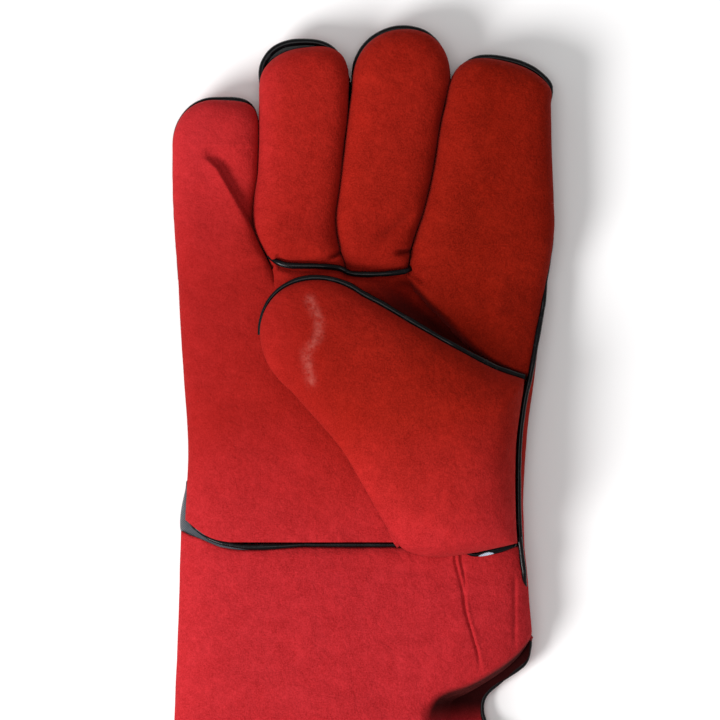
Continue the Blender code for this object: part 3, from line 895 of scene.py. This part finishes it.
# ---- materials ----
class Nodes:
    """Short ways to add and join shader nodes in one material."""

    def __init__(self, name):
        self.material = bpy.data.materials.new(name)
        self.material.use_nodes = True
        self.tree = self.material.node_tree
        self.shader = self.tree.nodes["Principled BSDF"]
        self.rest = self.add("ShaderNodeAttribute")
        self.rest.attribute_name = "rest"

    def add(self, kind, **inputs):
        node = self.tree.nodes.new(kind)
        for key, value in inputs.items():
            self.feed(node, key.replace("_", " "), value)
        return node

    def feed(self, node, key, value):
        socket = node.inputs[key]
        if isinstance(value, bpy.types.NodeSocket):
            self.tree.links.new(value, socket)
        else:
            socket.default_value = value

    def noise(self, scale, detail=4, roughness=0.55, distortion=0):
        sizes = {"Scale": scale, "Detail": detail, "Roughness": roughness, "Distortion": distortion}
        return self.add("ShaderNodeTexNoise", Vector=self.rest.outputs["Vector"], **sizes).outputs["Fac"]

    def math(self, operation, a, b=0):
        made = self.tree.nodes.new("ShaderNodeMath")
        made.operation = operation
        self.feed(made, 0, a)
        self.feed(made, 1, b)
        return made.outputs[0]

    def times(self, a, b):
        return self.math("MULTIPLY", a, b)

    def plus(self, a, b):
        return self.math("ADD", a, b)

    def place(self):
        """The X, Y and Z of the point at rest."""
        return self.add("ShaderNodeSeparateXYZ", Vector=self.rest.outputs["Vector"]).outputs

    def shade(self, **values):
        """Feeds the shader itself and returns the finished material."""
        for key, value in values.items():
            self.feed(self.shader, key.replace("_", " "), value)
        return self.material

    def blend(self, share, a, b):
        made = self.tree.nodes.new("ShaderNodeMix")
        made.data_type = "RGBA"
        for key, value in ((0, share), (6, a), (7, b)):
            self.feed(made, key, value)
        return made.outputs[2]

    def ramp(self, value, low, high):
        return self.add("ShaderNodeMapRange", Value=value, From_Min=low, From_Max=high).outputs["Result"]

    def bump(self, height, strength, distance, **under):
        sizes = {"Strength": strength, "Distance": distance}
        return self.add("ShaderNodeBump", Height=height, **sizes, **under).outputs["Normal"]

    def attribute(self, name):
        made = self.tree.nodes.new("ShaderNodeAttribute")
        made.attribute_name = name
        return made.outputs["Fac"]


def suede():
    """Red split leather: a napped, matt face with brushed light and dark patches and a fine grain.

    The colour runs from a pinkish red on the cuff and the little finger to a warmer red, partly the dye and
    partly a painted sheen of the light from the left. Towards the index finger it is painted darker, as
    painted shade where the light falls off; the palm is painted darker too, as painted shade, and the little
    finger's tip paler, as a painted highlight.
    """
    n = Nodes("red_suede")
    place = n.place()
    drift = n.times(n.math("SUBTRACT", n.noise(14, 2), 0.5), 0.05)
    x, y = n.plus(place[0], drift), n.plus(place[1], drift)
    # little: the little finger's tip, kept pink by the dye and painted paler as a painted highlight
    little = n.times(n.ramp(x, -0.03, -0.06), n.ramp(y, 0.08, 0.135))
    warm = n.times(n.ramp(x, -0.12, -0.008), n.ramp(y, -0.03, 0.03))
    warm = n.times(warm, n.math("SUBTRACT", 1, n.times(little, 0.75)))
    # painted shade: the colour darkens towards the index finger, which lies in the shade of the light from
    # the left
    index_painted_shade = n.times(n.ramp(x, -0.03, 0.048), n.ramp(y, -0.01, 0.06))
    # painted shade: the palm is painted darker
    palm = n.times(n.ramp(y, -0.02, 0.03), n.ramp(y, 0.125, 0.085))
    palm = n.times(palm, n.ramp(x, 0.015, -0.02))

    def dye_with_painted_shade(pink, orange, painted_shade_red):
        return n.blend(index_painted_shade, n.blend(warm, (*pink, 1), (*orange, 1)), (*painted_shade_red, 1))

    colour = dye_with_painted_shade((0.385, 0.013, 0.0155), (0.325, 0.0088, 0.0044), (0.19, 0.0045, 0.0008))
    dark = dye_with_painted_shade((0.235, 0.0065, 0.0075), (0.18, 0.0045, 0.0021), (0.092, 0.0021, 0.0004))
    pale = dye_with_painted_shade((0.55, 0.03, 0.039), (0.48, 0.022, 0.0135), (0.31, 0.014, 0.0045))
    patches = n.ramp(n.noise(38, 5, 0.6), 0.34, 0.68)
    strokes = n.ramp(n.noise(80, 4, 0.65, 1.2), 0.38, 0.64)
    brushed = n.ramp(n.noise(170, 4, 0.6, 0.6), 0.34, 0.68)
    mottle = n.ramp(n.noise(520, 4, 0.62), 0.32, 0.68)
    fibre = n.ramp(n.noise(1900, 3, 0.6), 0.3, 0.7)
    scuff = n.times(n.attribute("scuff"), n.ramp(n.noise(420, 4, 0.7), 0.34, 0.6))
    layers = (
        (patches, 0.6, dark), (strokes, 0.42, pale), (brushed, 0.72, dark), (mottle, 0.55, dark),
        # the palm layer is painted shade and the little layer a painted highlight
        (fibre, 0.62, pale), (palm, 0.42, dark), (little, 0.22, pale), (scuff, 0.24, (0.62, 0.21, 0.17, 1)),
        # painted shade: near-black in the cuff's fold, the puckers and the hollow beside the thumb, as the
        # points' marks give
        (n.attribute("painted_shade"), 0.96, (0.003, 0.001, 0.001, 1)),
    )
    for mask, share, tint in layers:
        colour = n.blend(n.times(mask, share), colour, tint)
    height = n.plus(n.times(fibre, 0.5), n.times(mottle, 0.9))
    nap = n.bump(height, 0.5, 0.0003, Normal=n.bump(brushed, 0.25, 0.0007))
    n.shade(Specular_IOR_Level=0.04, Sheen_Weight=0.09, Sheen_Roughness=0.4, Sheen_Tint=(1, 0.16, 0.15, 1))
    return n.shade(Base_Color=colour, Roughness=n.plus(n.times(mottle, 0.1), 0.84), Normal=nap)


def welt_vinyl():
    """Black coated piping: glossy, with fine creases and a few scuffs."""
    n = Nodes("black_piping")
    creases = n.noise(900, 3, 0.6, 0.8)
    scuffs = n.ramp(n.noise(260, 4, 0.65), 0.58, 0.72)
    black, worn = (0.0025, 0.0024, 0.003, 1), (0.03, 0.029, 0.032, 1)
    n.shade(Specular_IOR_Level=0.12, Coat_Weight=0.05, Coat_Roughness=0.12)
    return n.shade(
        Base_Color=n.blend(n.times(scuffs, 0.5), black, worn),
        Roughness=n.plus(n.times(scuffs, 0.25), 0.24),
        Normal=n.bump(creases, 0.3, 0.00018),
    )


def lining_cloth(name, shade=1):
    """Grey-blue woven cloth: crossed yarns with slubs."""
    n = Nodes(name)
    place = n.place()
    yarns_per_metre = 1150
    turns = 2 * math.pi * yarns_per_metre
    warp = n.math("SINE", n.times(place[0], turns))
    weft = n.math("SINE", n.times(place[1], turns))
    weave = n.plus(n.times(n.times(warp, weft), 0.5), 0.5)
    slub = n.ramp(n.noise(300, 3, 0.6, 0.4), 0.35, 0.7)

    def dyed(red, green, blue):
        return red * shade, green * shade, blue * shade, 1

    colour = n.blend(weave, dyed(0.02, 0.027, 0.038), dyed(0.065, 0.082, 0.105))
    colour = n.blend(n.times(slub, 0.4), colour, dyed(0.12, 0.14, 0.17))
    n.shade(Roughness=0.9, Sheen_Weight=0.3, Sheen_Roughness=0.5)
    return n.shade(Base_Color=colour, Normal=n.bump(weave, 0.6, 0.0003))


def floor_paper():
    n = Nodes("pale_floor")
    colour = n.blend(n.noise(3, 2), (0.91, 0.91, 0.91, 1), (0.93, 0.93, 0.93, 1))
    return n.shade(Base_Color=colour, Roughness=0.85)


# ---- welts ----
def finger_welt_points(finger):
    """Round a finger's seam and over its tip; hidden at the sides, peeping out at the tip."""
    end, shear, tip_from = WELT_END[finger], WELT_SHEAR[finger], FINGERS[finger]["from"]
    start, hidden = 82, 0.1
    left_side, right_side = [], []
    for step in range(10):
        y = mix(start, tip_from, step / 10)
        left, right = sides(finger, y, (WELT_TUCK, WELT_TUCK))
        left_side.append((left, y, SEAM_Z - hidden))
        right_side.append((right, y, SEAM_Z - hidden))
    tip = []
    left, right = sides(finger, tip_from, (WELT_TUCK, WELT_TUCK))
    drift = tip_drift(finger, left, right)
    for step in range(21):
        angle = math.pi * (1 - step / 20)
        c, s = math.cos(angle), math.sin(angle)
        power = tip_power(finger, c)
        fuller = (abs(c) ** power + abs(s) ** power) ** (-1 / power)
        y = tip_from + s * fuller * (end - tip_from)
        x = between(left, right, c * fuller) + drift * (y - tip_from)
        y += shear * (x - (left + right) / 2) * smooth(s)
        lift = smooth(s * 1.8)
        tip.append((x + WELT_SHIFT[finger] * lift, y, SEAM_Z - mix(hidden, 0.4, lift)))
    return left_side + tip + right_side[::-1]


def finger_web(finger):
    """Inner edge of the flange behind a finger's welt, which closes the view between bead and leather."""
    tip_from = FINGERS[finger]["from"]
    centre = sum(sides(finger, tip_from)) / 2

    def inner(point):
        x, y, z = point
        return mix(x, centre, 0.3), min(y, mix(y, tip_from, 0.4)), z - 0.6

    return inner


CUFF_WELT_TOP = (
    (60, -15.5, 20), (60.6, -19, 19.6), (61.2, -24, 19.2), (61.9, -29, 18.6), (62.1, -33, 16.6),
)


def build_welts(black):
    made = {}
    for finger in FINGERS:
        points = finger_welt_points(finger)
        made[finger] = tube(finger + "_piping", points, 1.3, black, seed=len(finger), web=finger_web(finger))
    base = [(x, y - 0.1, front_z(x, min(y, 86)) + little_crease(x, min(y, 86)) - 0.6) for x, y in BASE_SEAM]
    made["base"] = tube("finger_base_piping", base, 1.12, black, seed=3, swell=0.2, width=base_width)
    little_side = [(along(LEFT, y) + WELT_TUCK, y, SEAM_Z) for y in range(-14, 98, 6)]
    made["side_little"] = tube("little_side_piping", little_side, 1, black, seed=5)
    side = []
    for y in range(-18, 101, 4):
        x = along(RIGHT_SEAM, y)
        on_palm = front_z(min(x, seam_side(y) - 0.1), y) + 0.9
        side.append((x + mix(0.35, -0.8, side_share(y)), y, mix(on_palm, SEAM_Z, side_share(y))))
    made["side_thumb"] = tube("thumb_side_piping", side, 1.05, black, seed=8)
    ring, edge = wrist_welt_points(), thumb_welt_points()
    made["wrist"] = tube("wrist_piping", ring, 0.95, black, True, 0.2, 11, wrist_width)
    made["thumb"] = tube("thumb_piping", edge, 1.15, black, False, 0.2, 13, thumb_width, thumb_web)
    right = [(along(CUFF_RIGHT, y) - WELT_TUCK, y) for y in range(-40, -176, -6)]
    left = [(along(CUFF_LEFT, y) + WELT_TUCK, y) for y in range(-175, -22, 6)]
    on_seam = [[(x, y, cuff_seam(x, y)) for x, y in line] for line in (right, left)]
    made["cuff_thumb"] = tube("cuff_thumb_piping", list(CUFF_WELT_TOP) + on_seam[0], 1, black, seed=15)
    made["cuff_little"] = tube("cuff_little_piping", on_seam[1], 1, black, seed=17)
    hem = []
    for front in (True, False):
        for step in range(30):
            x, y, z = cuff_place(front)(step / 30, 0)
            hem.append((x, HEM_Y - 0.2, max(z, 1.3)))
    made["hem"] = tube("hem_piping", hem, 1.15, black, closed=True, seed=19)
    return made


def base_width(point):
    """The finger-base welt thins out into the fold beside the little finger."""
    return mix(0.35, 1, ease(point[0], -36, -30))


def wrist_width(point):
    """The wrist welt is fattest where the seam gapes: near both of its ends on the palm side."""
    if point[2] < 12:
        return 1
    gape = 0.45 * bell((point[0] + 38) / 9) + 0.8 * bell((point[0] - 51.5) / 5)
    return 0.8 - 0.25 * ease(point[0], -54, -60) + gape


WRIST_CLIMB = (
    (-65.6, -9.5), (-62, -13), (-58.2, -15.5), (-54, -17.2), (-49.5, -18.3), (-42, -19.2), (-30, -18.9),
    (-22.7, -18.4),
)


def wrist_welt_points():
    """The ring round the wrist seam, climbing round the little-finger corner of the palm leather."""
    front = []
    for x, y in WRIST_CLIMB:
        front.append((x, y, thumb_base(x, y) - mix(0.4, 1.2, ease(x, -58, -65))))
    for step in range(1, 15):
        x = mix(-22.7, 36, step / 14)
        front.append((x, WRIST_Y, thumb_base(x, WRIST_Y) - 0.7))
    for x, y in ((42.2, -22), (47, -21.4), (52.5, -20), (58, -18.6)):
        front.append((x, y, thumb_base(x, WRIST_Y) + 0.2))
    under = []
    for step in range(25):
        reach = rounded(1 - 2 * step / 24)
        x = between(along(LEFT, WRIST_Y) + 2.8, along(RIGHT_SEAM, WRIST_Y), reach)
        under.append((x, WRIST_Y, max(back_z(x, WRIST_Y) + 0.5, 1.1)))
    return front + under


def thumb_width(point):
    return mix(0.65, 1.1, ease(point[0], -34, -14))


def thumb_web(point):
    """Inner edge of the flange behind the thumb's welt, under the thumb's leather."""
    return mix(point[0], 20, 0.12), mix(point[1], 45, 0.12), point[2] - 1.2


def thumb_welt_points():
    """From the fold side of the thumb's tip over the tip and down the upper edge to the side seam."""
    edge = []
    left, right = along(THUMB_FOLD, THUMB_ROUND_FROM), along(THUMB_WELT_EDGE, THUMB_ROUND_FROM)
    for step in range(15):
        angle = math.radians(mix(124, 0, step / 14))
        out = mix(0.1, 0.8, ease(step, 0, 6))
        a = (left + right) / 2 + math.cos(angle) * ((right - left) / 2 + out)
        edge.append((a, THUMB_ROUND_FROM + math.sin(angle) * (THUMB_ROUND + out)))
    for p in (60, 52, 44, 36, 28, 20, 13, 7, 3, 0.6):
        edge.append((along(THUMB_WELT_EDGE, p) + 0.8, p))
    path = []
    for step, (a, p) in enumerate(edge):
        x, y = thumb_plan(a, p)
        path.append((x, y, thumb_levels(x, y, p)[0] + mix(-0.6, 0.6, ease(step, 0, 5))))
    return path


FLANGE_OUTER = (
    (-65.1, 6, 13.4), (-66.9, -1.5, 13), (-67.9, -7.5, 13), (-67.8, -13, 14), (-65.4, -16.4, 17.2),
    (-62, -18.4, 20), (-56, -19.6, 22), (-49, -20.3, 22.9), (-42, -20.6, 23.3),
)
FLANGE_INNER = (
    (-65.4, 4.5, 14.5), (-64.6, -1.5, 16), (-64.2, -7, 17), (-63.4, -9.5, 18.6), (-59.8, -12, 21.2),
    (-55.6, -14.6, 22.4), (-50, -17, 23.2), (-45, -18.4, 23.5), (-40, -18.9, 23.6),
)


# the pale patch at the thumb end of the wrist seam, a painted highlight for the glint on the piping there
FLANGE_GLINT = ((44.6, -22.6), (47.5, -21.8), (50.5, -20.9), (53.5, -20.1), (56, -19.5))


def build_wrist_tab(grey, pale):
    """The welt's flange where it shows at the wrist seam: grey at the little finger; at the thumb a pale
    patch stands for the glint on the piping, a painted highlight.
    """
    mesh = bmesh.new()
    outer, inner = densify(FLANGE_OUTER, 1, False), densify(FLANGE_INNER, 1, False)
    ribbon = densify([(x, y, 0) for x, y in FLANGE_GLINT], 1, False)

    def read(points, s):
        place = s * (len(points) - 1)
        low = min(int(place), len(points) - 2)
        return Vector(points[low]).lerp(Vector(points[low + 1]), place - low)

    def place(s, t):
        point = read(outer, s).lerp(read(inner, s), t)
        return point + Vector((-0.3, 0, -1.3)) + Vector((-0.4, -0.1, 0.4)) * math.sin(math.pi * t)

    def glint_place(s, t):
        x, y, _ = read(ribbon, s)
        y += 1.5 * math.sin(math.pi * s) ** 0.8 * (t - 0.5)
        return x, y, thumb_base(x, WRIST_Y) + 1 + 0.3 * math.sin(math.pi * t)

    grid(mesh, 60, 8, place)
    at_thumb = grid(mesh, 24, 6, glint_place)
    for face in {face for vert in at_thumb for face in vert.link_faces}:
        face.material_index = 1
    made = finish_mesh("wrist_flange_cloth", mesh, grey, wrinkle=0.4, thickness=0.6)
    made.data.materials.append(pale)
    return made


# ---- stitches ----
STITCH_LINE = 5.6
STITCH_PITCH = 3.9
STITCH_LENGTH = 2.5
STITCH_THICKNESS = 0.55


def sew_hem(hem, leaves):
    """Adds the hem's stitches to its binding: short threads laid on the leather in a row above the hem."""
    mesh = bmesh.new()
    mesh.from_mesh(hem.data)
    row_y = HEM_Y + STITCH_LINE
    for leaf in leaves:
        nearest = min((abs(vert.co.y / MM - row_y), vert.co.y) for vert in leaf.data.vertices)[1]
        row = [vert for vert in leaf.data.vertices if abs(vert.co.y - nearest) < 0.35 * MM]
        row.sort(key=lambda vert: vert.co.x)
        last = None
        for vert in row:
            if last is not None and (vert.co - last).length < STITCH_PITCH * MM:
                continue
            last = vert.co.copy()
            along_row = vert.normal.cross(Vector((0, 1, 0))).normalized()
            turn = Vector((1, 0, 0)).rotation_difference(along_row).to_matrix().to_4x4()
            size = Matrix.Diagonal((STITCH_LENGTH / 2, STITCH_THICKNESS / 2, STITCH_THICKNESS / 2, 1))
            place = Matrix.Translation(last + vert.normal * 0.12 * MM) @ turn @ size
            bmesh.ops.create_uvsphere(mesh, u_segments=8, v_segments=6, radius=MM, matrix=place)
    mesh.to_mesh(hem.data)
    mesh.free()
    keep_rest(hem.data)
    hem.data.shade_smooth()


def place_on(piece, nodes, other=None, body="hand"):
    """Hides the CAD nodes that a piece stands for, and attaches the piece to its body; a piece given another
    body has its transform baked instead and stays unattached.
    """
    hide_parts(*nodes.split())
    if other:
        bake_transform(piece)
    else:
        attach(piece, body)


SCUFF = ((-18.9, 74), (-15.4, 66), (-15.4, 61), (-20.4, 53.5), (-18.4, 43.5))


def scuff(x, y, z):
    """A pale S-shaped scuff on the thumb."""
    return bell(line_nearness(x, y, SCUFF)[0] / 1.7) if z >= 30 else 0


def painted_shade(x, y, z):
    """Painted shade: the cuff's side is painted near-black where it folds under."""
    return smooth((corner_drop(x, y) - 0.4) / 4) * ease(y, -92, -78)


def valley_painted_shade(x, y, z):
    """Painted shade in the hollow between thumb and index finger, darkest along the thumb's upper edge."""
    aside, place = line_distance(x, y, (-4, 81), (62, 46))
    beside = 0.8 * ease(aside, -8, -0.5) * ease(aside, 14, 0) * ease(place, 0, 0.3)
    hollow = 0.6 * smooth(valley_drop(x, y) / VALLEY_SINK) * ease(y, 82, 66)
    return max(beside, hollow)


def pucker_painted_shade(finger):
    """Painted shade in the short dark puckers at the foot of a set-in finger."""
    return lambda x, y, z: 0.55 * smooth((set_in_wrinkles(finger, x, y) - 0.9) / 1.8)


def build_glove():
    red, black, grey = suede(), welt_vinyl(), lining_cloth("grey_lining_cloth")
    palm = build_palm(red)
    # painted shade in the hollow beside the thumb
    mark(palm, "painted_shade", valley_painted_shade)
    place_on(palm, "palm_front little_front", "little")
    place_on(build_index_front(red), "index_front", "index")
    for finger in ("ring", "middle"):
        front = build_set_in(finger, red)
        # painted shade in the puckers
        mark(front, "painted_shade", pucker_painted_shade(finger))
        place_on(front, finger + "_front", finger)
    place_on(build_hand_back(red), "hand_back")
    welts = build_welts(black)
    for finger in FINGERS:
        place_on(build_finger_back(finger, red), finger + "_back", finger)
        place_on(build_finger_lining(finger, grey), finger + "_lining", finger)
        place_on(welts[finger], finger + "_welt", finger)
    thumb = build_thumb(red)
    mark(thumb, "scuff", scuff)
    place_on(thumb, "thumb_leather thumb_root", "thumb")
    place_on(build_thumb_lining(grey), "thumb_lining", "thumb")
    place_on(welts["thumb"], "thumb_welt", "thumb")
    place_on(build_hand_lining(grey), "palm_lining")
    # the pale flange cloth, six times the lining's brightness, is a painted highlight
    flange = build_wrist_tab(lining_cloth("flange_cloth", 0.5), lining_cloth("painted_glint_flange_cloth", 6))
    place_on(flange, "wrist_tab")
    place_on(welts["base"], "finger_base_welt")
    place_on(welts["side_little"], "side_welt_little", "little")
    place_on(welts["side_thumb"], "side_welt_thumb", "index")
    place_on(welts["wrist"], "wrist_welt")
    cuff_front, cuff_back = build_cuff(True, red), build_cuff(False, red)
    # painted shade in the cuff's fold
    mark(cuff_front, "painted_shade", painted_shade)
    sew_hem(welts["hem"], (cuff_front, cuff_back))
    place_on(cuff_front, "cuff_front", "cuff")
    place_on(cuff_back, "cuff_back", "cuff")
    place_on(build_cuff_lining(grey), "cuff_lining", "cuff")
    place_on(welts["cuff_thumb"], "cuff_welt_thumb", "cuff")
    place_on(welts["cuff_little"], "cuff_welt_little", "cuff")
    place_on(welts["hem"], "hem_binding", body="cuff")


# ---- floor, lights, camera ----
def build_floor():
    mesh = bmesh.new()
    bmesh.ops.create_grid(mesh, x_segments=8, y_segments=8, size=3)
    floor = add_mesh("floor", mesh, floor_paper())
    floor.location.z = -0.0004


def add_area_light(name, location, aim, size, power, colour):
    data = bpy.data.lights.new(name, "AREA")
    data.shape = "DISK"
    data.size = size
    data.energy = power
    data.color = colour
    lamp = bpy.data.objects.new(name, data)
    lamp.location = location
    lamp.rotation_euler = (Vector(aim) - Vector(location)).to_track_quat("-Z", "Y").to_euler()
    bpy.context.scene.collection.objects.link(lamp)


def build_lights():
    aim = (0, 0.04, 0.02)
    add_area_light("key_left", (-0.95, -0.58, 0.95), aim, 0.7, 25, (1, 0.98, 0.98))
    add_area_light("fill_top", (-0.1, 0.1, 1.6), aim, 0.9, 6, (1, 1, 1))
    world = bpy.data.worlds.new("studio")
    world.use_nodes = True
    sky = world.node_tree.nodes["Background"].inputs
    sky["Color"].default_value = (1, 1, 1, 1)
    sky["Strength"].default_value = 0.4
    bpy.context.scene.world = world
    bpy.context.scene.view_settings.view_transform = "Standard"


def build_camera():
    distance = 2.6
    view_width = 0.2717
    data = bpy.data.cameras.new("camera")
    data.sensor_width = 36
    data.lens = data.sensor_width * (distance - 0.024) / view_width
    data.clip_end = 20
    camera = bpy.data.objects.new("camera", data)
    camera.location = (-0.0001, 0.0514, distance)
    bpy.context.scene.collection.objects.link(camera)
    bpy.context.scene.camera = camera


build_camera()
build_floor()
build_lights()
build_glove()
